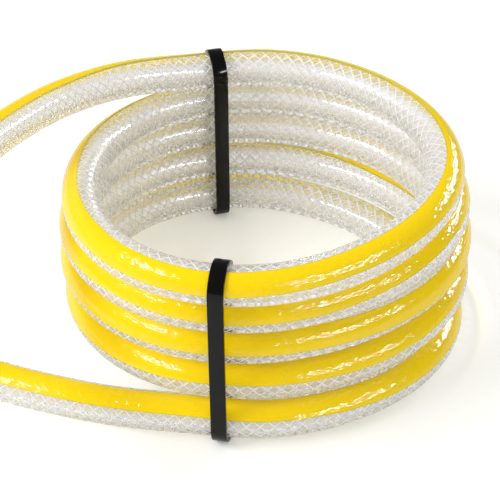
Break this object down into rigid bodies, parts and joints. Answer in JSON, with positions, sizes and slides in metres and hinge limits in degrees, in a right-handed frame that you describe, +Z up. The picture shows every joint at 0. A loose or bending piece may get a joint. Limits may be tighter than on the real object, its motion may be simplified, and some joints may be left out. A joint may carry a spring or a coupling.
{
  "type": "coiled air hose",
  "caption": "Clear braided air hose with a yellow stripe, coiled and held by black cable ties, both cut ends loose.",
  "frame": {"origin": "on the floor at the coil's axis", "axes": "+Z up the coil's axis; -Y is the front, where the lower end starts; +X is away from the loose ends"},
  "size_m": [0.2056, 0.1644, 0.0861],
  "materials": {
    "clear_pvc": "clear flexible PVC, glossy",
    "braid_yarn": "white polyester yarn, crossed diamond lattice",
    "stripe_pvc": "opaque yellow flexible PVC, glossy",
    "tie_nylon": "black moulded nylon, satin"
  },
  "bodies": {
    "root": {"coil_liner": "clear_pvc", "coil_braid": "braid_yarn", "coil_cover": "clear_pvc", "coil_stripe": "stripe_pvc", "lower_tail_liner": "clear_pvc", "lower_tail_braid": "braid_yarn", "lower_tail_cover": "clear_pvc", "lower_tail_stripe": "stripe_pvc", "upper_tail_liner": "clear_pvc", "upper_tail_braid": "braid_yarn", "upper_tail_cover": "clear_pvc", "upper_tail_stripe": "stripe_pvc", "lower_end_liner": "clear_pvc", "lower_end_braid": "braid_yarn", "lower_end_cover": "clear_pvc", "lower_end_stripe": "stripe_pvc", "upper_end_liner": "clear_pvc", "upper_end_braid": "braid_yarn", "upper_end_cover": "clear_pvc", "upper_end_stripe": "stripe_pvc", "front_tie_strap": "tie_nylon", "front_tie_head": "tie_nylon", "rear_tie_strap": "tie_nylon", "rear_tie_head": "tie_nylon"},
    "front_pawl": {"front_tie_pawl": "tie_nylon"},
    "rear_pawl": {"rear_tie_pawl": "tie_nylon"}
  },
  "joints": [
    {"name": "front_pawl_flex", "type": "hinge", "parent": "root", "child": "front_pawl", "pos_m": [-0.00924, -0.04421, 0.02984], "axis": [-0.9789, 0.2045, 0], "range_deg": [0, 12], "stiffness_Nm_per_rad": 0.0005, "springref_deg": -2.86},
    {"name": "rear_pawl_flex", "type": "hinge", "parent": "root", "child": "rear_pawl", "pos_m": [-0.01669, 0.06952, 0.02985], "axis": [-0.9724, -0.2334, 0], "range_deg": [0, 12], "stiffness_Nm_per_rad": 0.0005, "springref_deg": -2.86}
  ]
}
